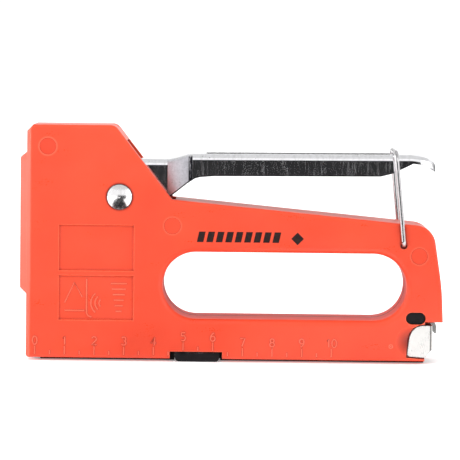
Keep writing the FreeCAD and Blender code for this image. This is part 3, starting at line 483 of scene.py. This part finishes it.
def chrome(name, colour, roughness, wave, outline=0.3 * MM, flare=False):
    """Bright plating over drawn steel: slight waves, fine scratches across, small pits and dull patches.

    Sharp edges get painted shade over a width of outline. flare adds what shows on the lever only.
    """
    look = Look(name, {})
    smear = look.clouds(1.1 * MM, stretch=(1, 1, 6), detail=5, rough=0.6)
    pit = look.fit(look.clouds(0.5 * MM, detail=2), 0.70, 0.76)
    darker = tuple(c * 0.86 for c in colour)
    tint = look.mix(look.fit(smear, 0.45, 0.75), (*colour, 1), (*darker, 1))
    streak = look.clouds(0.7 * MM, stretch=(1, 1, 9), detail=5, rough=0.7)
    look.set("Metallic", look.fit(streak, 0.52, 0.72, 1.0, 0.86))
    gloss = look.fit(smear, 0.35, 0.75, roughness, roughness * 3.2)
    if flare:
        gloss, tint = dull_flare(look, streak, gloss, tint)
    # painted shade along sharp edges
    tint = look.mix(look.fit(look.worn_edges(outline, 0.01, 0.10), 0, 1, 0, 0.85), tint, CHROME_EDGE_PAINTED_SHADE)
    look.set("Base Color", look.mix(pit, tint, CHROME_PIT))
    look.set("Roughness", gloss)
    look.bump(look.clouds(6 * MM, stretch=(1, 1, 1.6), detail=2), wave)
    look.bump(look.clouds(0.5 * MM, stretch=(1, 1, 8), detail=3), 0.004 * MM)
    return look.material


FOLD_PAINTED_SHADE = (0.05, 0.045, 0.045, 1)


def sheet_steel(name, colour, roughness, metal, grain, edge_share=1.25, edge_width=0.25 * MM, folds=()):
    """Plated or bare steel with a brushed grain and cloudy roughness; edges take edge_share of its colour.

    folds lists (start, end, share): stretches along X that painted shade darkens by share.
    """
    look = Look(name, {"Metallic": metal})
    cloud = look.clouds(4 * MM, detail=5, rough=0.6)
    brushed = look.clouds(0.12 * MM, stretch=grain, detail=3)
    darker = tuple(c * 0.86 for c in colour)
    tint = look.ramp(cloud, (0.3, darker), (0.7, colour))
    edge = look.worn_edges(edge_width)
    rim = (*(min(1.0, c * edge_share) for c in colour), 1)
    for start, end, share in folds:
        # painted shade over each fold stretch
        dull = look.within(look.axes()["X"], start, end, 0.12 * MM)
        tint = look.mix(look.sums("MULTIPLY", dull, share), tint, FOLD_PAINTED_SHADE)
    look.set("Base Color", look.mix(edge, tint, rim))
    uneven = look.sums("ADD", cloud, look.fit(brushed, 0.3, 0.7, -0.15, 0.15))
    look.set("Roughness", look.fit(uneven, 0.2, 0.8, roughness * 0.75, roughness * 1.3))
    look.bump(brushed, 0.004 * MM)
    look.bump(cloud, 0.02 * MM)
    return look.material


def black_finish():
    """Black-finished steel, rubbed to bare metal on its edges."""
    look = Look("black_steel_finish", {"IOR": 1.5, "Specular IOR Level": 0.12})
    cloud = look.clouds(3 * MM, detail=5, rough=0.65)
    fine = look.clouds(0.2 * MM, detail=2)
    rubbed = look.sums("MULTIPLY", look.worn_edges(0.3 * MM), look.fit(cloud, 0.45, 0.65))
    tint = look.ramp(cloud, (0.3, (0.005, 0.005, 0.006)), (0.7, (0.012, 0.011, 0.013)))
    look.set("Base Color", look.mix(rubbed, tint, (0.42, 0.41, 0.40, 1)))
    look.set("Metallic", rubbed)
    look.set("Roughness", look.fit(cloud, 0.3, 0.7, 0.30, 0.48))
    look.bump(fine, 0.006 * MM)
    return look.material


def black_moulding(name, colour, low, high, grain):
    """Black plastic or rubber: its roughness goes from low to high over a grain of that size."""
    look = Look(name, {"IOR": 1.48, "Specular IOR Level": 0.15})
    cloud = look.clouds(2.5 * MM, detail=4)
    fine = look.clouds(grain, detail=2)
    paler = tuple(c * 1.9 for c in colour)
    tint = look.ramp(cloud, (0.3, colour), (0.75, paler))
    edge = look.fit(look.worn_edges(0.25 * MM), 0, 1, 0, 0.4)
    look.set("Base Color", look.mix(edge, tint, (0.09, 0.09, 0.095, 1)))
    look.set("Roughness", look.fit(fine, 0.3, 0.7, low, high))
    look.bump(fine, grain * 0.06)
    return look.material


def black_ink():
    """Printed black, thin and slightly uneven over the plastic's grain."""
    look = Look("black_ink", {"IOR": 1.45, "Specular IOR Level": 0.25})
    cloud = look.clouds(0.8 * MM, detail=5, rough=0.7)
    look.set("Base Color", look.ramp(cloud, (0.35, (0.012, 0.007, 0.007)), (0.75, (0.035, 0.014, 0.012))))
    look.set("Roughness", look.fit(cloud, 0.3, 0.7, 0.36, 0.52))
    look.bump(look.clouds(0.3 * MM, detail=2), 0.004 * MM)
    return look.material


# the end cap's fold, and the stretches beside it that get painted shade: the fold's line and the lip behind it
CAP_FOLD = shell_high.x - 3.9 * MM
CAP_FOLD_SHADES = ((CAP_FOLD - 0.35 * MM, CAP_FOLD, 0.85), (CAP_FOLD + 0.5 * MM, CAP_FOLD + 5 * MM, 0.6))


def make_finishes():
    """One material for each slot of the record."""
    return {
        "orange_shell": orange_plastic("orange_abs", (0.66, 0.050, 0.0155), (0.74, 0.062, 0.0200),
                                       (1.0, 0.25, 0.13), 0.6, shells=True),
        "chromed_steel": chrome("rivet_chrome", (0.88, 0.87, 0.88), 0.11, 0.03 * MM),
        "chromed_wire": chrome("wire_chrome", (0.54, 0.53, 0.54), 0.12, 0.02 * MM),
        # the end cap's edges at a tenth of its colour are painted shade
        "bright_steel": sheet_steel("nickel_sheet", (0.76, 0.77, 0.75), 0.30, 0.55, (1, 1, 14), 0.10, 0.38 * MM,
                                    CAP_FOLD_SHADES),
        "zinc_steel": sheet_steel("zinc_plate", (0.62, 0.63, 0.66), 0.30, 1.0, (1, 1, 6)),
        "spring_steel": sheet_steel("oiled_spring", (0.34, 0.34, 0.36), 0.26, 1.0, (4, 4, 4)),
        "blade_steel": sheet_steel("hardened_blade", (0.46, 0.47, 0.50), 0.22, 1.0, (1, 1, 20)),
        "dark_steel": sheet_steel("sintered_block", (0.16, 0.16, 0.17), 0.48, 0.9, (2, 2, 2)),
        "staple_wire": sheet_steel("glued_staples", (0.66, 0.67, 0.69), 0.28, 1.0, (1, 20, 20)),
        "black_steel": black_finish(),
        "black_plastic": black_moulding("black_nylon", (0.006, 0.006, 0.007), 0.38, 0.55, 0.25 * MM),
        "black_rubber": black_moulding("black_rubber_mix", (0.014, 0.014, 0.014), 0.65, 0.85, 0.4 * MM),
    }


def finish_nodes(finishes):
    """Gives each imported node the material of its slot, and the lever its own chrome."""
    for part in frame["record"]["subparts"]:
        for slot in frame["nodes"][part["node"]].material_slots:
            slot.material = finishes[part["material_slot"]]
    lever_slot = frame["nodes"]["lever"].material_slots[0]
    lever_slot.material = chrome("lever_chrome", (0.90, 0.90, 0.92), 0.055, 0.05 * MM, 0.8 * MM, flare=True)


EDGE_WIDTHS = {
    "left_shell": 0.20 * MM,
    "right_shell": 0.20 * MM,
    "magazine_keeper": 0.3 * MM,
    "magazine_latch": 0.25 * MM,
    "magazine_channel": 0.12 * MM,
}
WELD_REACH = 0.002 * MM


def round_edges():
    """Softens the sharp edges of the pieces that show, as moulding and stamping leave them."""
    for name, width in EDGE_WIDTHS.items():
        node = frame["nodes"][name]
        weld = node.modifiers.new("weld", "WELD")
        weld.merge_threshold = WELD_REACH
        bevel = node.modifiers.new("soft_edges", "BEVEL")
        bevel.width = width
        bevel.segments = 2
        bevel.limit_method = "ANGLE"
        bevel.angle_limit = SHARP_ANGLE
        bevel.harden_normals = True


# ---------------------------------------------------------------- raised and printed marks

# points across the rounded top of a raised line
ROUND_STEPS = 5


def add_moulded_mark(name, bm, plastic):
    """A raised mark on the near shell, smooth except where it turns sharply."""
    piece = add_mesh(name, bm, plastic)
    piece.data.shade_smooth()
    piece.data.set_sharp_from_angle(angle=SHARP_ANGLE)
    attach(piece, "frame")


def arc(middle, radii, start, end, steps=14):
    """Points along part of an ellipse, from the angle start to end in degrees."""
    points = []
    for step in range(steps + 1):
        angle = math.radians(start + (end - start) * step / steps)
        points.append((middle[0] + radii[0] * math.cos(angle), middle[1] + radii[1] * math.sin(angle)))
    return points


def ridge(bm, points, face, width, height, closed=False):
    """A low rounded bead along points (x, z) on the plane y = face, standing out towards -Y."""
    count = len(points)
    rings = []
    for index, (x, z) in enumerate(points):
        before = points[index - 1] if closed or index else points[0]
        after = points[(index + 1) % count] if closed or index < count - 1 else points[-1]
        along = Vector((after[0] - before[0], after[1] - before[1])).normalized()
        across = Vector((along.y, -along.x))
        ring = [bm.verts.new((x + across.x * width * side, face + height * 0.5, z + across.y * width * side))
                for side in (-0.5, 0.5)]
        for step in range(ROUND_STEPS):
            angle = math.pi * step / (ROUND_STEPS - 1)
            side = 0.5 * width * math.cos(angle)
            out = height * math.sin(angle)
            ring.append(bm.verts.new((x + across.x * side, face - out, z + across.y * side)))
        rings.append(ring)
    pairs = list(zip(rings, rings[1:]))
    if closed:
        pairs.append((rings[-1], rings[0]))
    for first, second in pairs:
        for corner in range(len(first)):
            following = (corner + 1) % len(first)
            bm.faces.new((first[corner], first[following], second[following], second[corner]))
    if not closed:
        bm.faces.new(rings[0])
        bm.faces.new(list(reversed(rings[-1])))


def digit_strokes(digit):
    """Strokes of a plain numeral, one unit high and centred, each as (points, closed)."""
    if digit == "9":
        return [([(-x, -z) for x, z in points], closed) for points, closed in digit_strokes("6")]
    return {
        "0": [(arc((0, 0), (0.29, 0.5), 0, 345, 22), True)],
        "1": [([(-0.16, 0.28), (0.04, 0.5), (0.04, -0.5)], False)],
        "2": [(arc((0, 0.22), (0.28, 0.28), 165, -35) + [(-0.30, -0.5), (0.32, -0.5)], False)],
        "3": [(arc((0, 0.25), (0.25, 0.25), 150, -80), False),
              (arc((0, -0.24), (0.29, 0.26), 80, -150), False)],
        "4": [([(0.12, -0.5), (0.12, 0.5), (-0.30, -0.18), (0.32, -0.18)], False)],
        "5": [([(0.26, 0.5), (-0.18, 0.5), (-0.22, 0.08)] + arc((0, -0.18), (0.28, 0.32), 118, -140),
               False)],
        "6": [(arc((0, -0.2), (0.28, 0.3), 0, 340, 18), True),
              ([(-0.28, -0.16), (-0.22, 0.14), (-0.06, 0.36), (0.14, 0.5)], False)],
        "7": [([(-0.28, 0.5), (0.30, 0.5), (-0.06, -0.5)], False)],
        "8": [(arc((0, 0.25), (0.23, 0.24), 0, 340, 18), True),
              (arc((0, -0.24), (0.28, 0.26), 0, 340, 18), True)],
    }[digit]


# the rule, from the near shell's low corner
RULE_START = 5.55 * MM
RULE_STEP = 10.01 * MM
RULE_COUNT = 11
RULE_FOOT = 1.1 * MM
WINDOW_FOOT = 2.8 * MM
TICK_HEIGHT, HALF_TICK_HEIGHT = 2.8 * MM, 1.3 * MM
NUMBER_HEIGHT, NUMBER_GAP = 2.7 * MM, 0.55 * MM
DIGIT_PITCH = 0.72
MARK_WIDTH = 0.46 * MM
MARK_HEIGHT = 0.20 * MM
# marks between these step up, clear of the keeper's window
keeper_low, keeper_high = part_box("magazine_keeper")
window_left = keeper_low.x - 2.2 * MM
window_right = keeper_high.x + 1.4 * MM


def rule_foot(x):
    """How high the marks of the rule start at x."""
    return shell_low.z + (WINDOW_FOOT if window_left < x < window_right else RULE_FOOT)


def add_rule(plastic):
    """The moulded centimetre rule: a tick for each half centimetre, and the numbers 0 to 10."""
    ticks, numbers = bmesh.new(), bmesh.new()

    def tick(x, height):
        foot = rule_foot(x)
        ridge(ticks, [(x, foot), (x, foot + height)], near_face, MARK_WIDTH, MARK_HEIGHT)

    for index in range(RULE_COUNT):
        x = shell_low.x + RULE_START + RULE_STEP * index
        tick(x, TICK_HEIGHT)
        if index < RULE_COUNT - 1:
            tick(x + RULE_STEP / 2, HALF_TICK_HEIGHT)
        middle = rule_foot(x) + TICK_HEIGHT + NUMBER_GAP + NUMBER_HEIGHT / 2
        text = str(index)
        for order, digit in enumerate(text):
            shift = (order - (len(text) - 1) / 2) * DIGIT_PITCH
            for points, closed in digit_strokes(digit):
                placed = [(x + (shift + u) * NUMBER_HEIGHT, middle + v * NUMBER_HEIGHT) for u, v in points]
                ridge(numbers, placed, near_face, MARK_WIDTH, MARK_HEIGHT, closed)
    add_moulded_mark("rule_ticks", ticks, plastic)
    add_moulded_mark("rule_numbers", numbers, plastic)


# the lower recessed panel, from the near shell's low corner
PANEL_LEFT, PANEL_RIGHT = 13.8 * MM, 38.4 * MM
PANEL_LOW, PANEL_HIGH = 13.1 * MM, 27.5 * MM
PANEL_DEPTH = 0.45 * MM
DRAWING_WIDTH = 0.50 * MM
DRAWING_HEIGHT = 0.16 * MM
RIPPLES = (0.06, 0.115, 0.17)
STACK_COUNT = 6


def add_panel_marks(plastic):
    """Plain moulded line drawings in the lower panel, in shares of its width and height.

    They are a chevron over a bar, a curved line, ripples, and a stack of bars that get shorter downwards.
    """
    bm = bmesh.new()
    face = near_face + PANEL_DEPTH
    left, right = shell_low.x + PANEL_LEFT, shell_low.x + PANEL_RIGHT
    low, high = shell_low.z + PANEL_LOW, shell_low.z + PANEL_HIGH
    width, height = right - left, high - low

    def at(u, v):
        return (left + u * width, low + v * height)

    def line(*points):
        ridge(bm, [at(u, v) for u, v in points], face, DRAWING_WIDTH, DRAWING_HEIGHT)

    line((0.07, 0.38), (0.20, 0.86), (0.31, 0.52))
    line((0.07, 0.20), (0.34, 0.20))
    line((0.37, 0.94), (0.37, 0.14), (0.39, 0.08), (0.44, 0.05))
    for reach in RIPPLES:
        line(*arc((0.60, 0.38), (reach, reach * width / height), 130, 230, 8))
    for step in range(STACK_COUNT):
        inset, drop = 0.014 * step, 0.13 * step
        line((0.70 + inset, 0.84 - drop), (0.92 - inset, 0.84 - drop))
    add_moulded_mark("panel_marks", bm, plastic)


# where the injection point is, back from the tail and up from the bottom edge
GATE_BACK, GATE_UP = 17.5 * MM, 4.95 * MM
GATE_RING, GATE_RING_WIDTH, GATE_RING_HEIGHT = 0.62 * MM, 0.3 * MM, 0.05 * MM
GATE_DOT, GATE_DOT_WIDTH, GATE_DOT_HEIGHT = 0.12 * MM, 0.24 * MM, 0.12 * MM


def add_gate_marks(plastic):
    """The small ring and dot that the injection point leaves near the tail."""
    bm = bmesh.new()
    centre = (shell_high.x - GATE_BACK, shell_low.z + GATE_UP)
    ring = arc(centre, (GATE_RING, GATE_RING), 0, 345, 24)
    ridge(bm, ring, near_face, GATE_RING_WIDTH, GATE_RING_HEIGHT, closed=True)
    dot = arc(centre, (GATE_DOT, GATE_DOT), 0, 330, 11)
    ridge(bm, dot, near_face, GATE_DOT_WIDTH, GATE_DOT_HEIGHT, closed=True)
    add_moulded_mark("gate_marks", bm, plastic)


# the print on the handle, from the near shell's low corner
PRINT_LEFT, PRINT_LOW = 59.9 * MM, 39.6 * MM
BAR_COUNT = 9
BAR_WIDTH, BAR_PITCH = 2.15 * MM, 3.18 * MM
BAR_HEIGHT, BAR_SLANT = 3.5 * MM, 0.75 * MM
DIAMOND_RIGHT, DIAMOND_UP, DIAMOND_REACH = 33.9 * MM, 1.4 * MM, 2.1 * MM
INK_THICKNESS = 0.03 * MM


def printed_patch(bm, outline):
    """A thin closed patch of ink through the near face, with its outline given as (x, z)."""
    back = [bm.verts.new((x, near_face + INK_THICKNESS, z)) for x, z in outline]
    front = [bm.verts.new((x, near_face - INK_THICKNESS, z)) for x, z in outline]
    bm.faces.new(front)
    bm.faces.new(list(reversed(back)))
    for index in range(len(outline)):
        following = (index + 1) % len(outline)
        bm.faces.new((front[index], back[index], back[following], front[following]))


def add_print(ink):
    """Plain printed decoration on the handle: a row of slanted bars, and a diamond."""
    left, low = shell_low.x + PRINT_LEFT, shell_low.z + PRINT_LOW
    high = low + BAR_HEIGHT
    bars, diamond = bmesh.new(), bmesh.new()
    for index in range(BAR_COUNT):
        x = left + BAR_PITCH * index
        printed_patch(bars, [(x, low), (x + BAR_WIDTH, low), (x + BAR_WIDTH + BAR_SLANT, high),
                             (x + BAR_SLANT, high)])
    x, z = left + DIAMOND_RIGHT, low + DIAMOND_UP
    printed_patch(diamond, [(x - DIAMOND_REACH, z), (x, z - DIAMOND_REACH), (x + DIAMOND_REACH, z),
                            (x, z + DIAMOND_REACH)])
    for name, bm in (("printed_bars", bars), ("printed_diamond", diamond)):
        piece = add_mesh(name, bm, ink)
        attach(piece, "frame")


# ---------------------------------------------------------------- the whole scene

add_camera()
add_studio()
finish_nodes(make_finishes())
round_edges()
# a lighter copy of the orange for the raised marks: painted highlight
raised = orange_plastic("orange_abs_highlit_marks", (0.80, 0.10, 0.048), (0.86, 0.13, 0.066), (1.0, 0.28, 0.18), 0.4)
add_rule(raised)
add_panel_marks(raised)
add_gate_marks(raised)
add_print(black_ink())
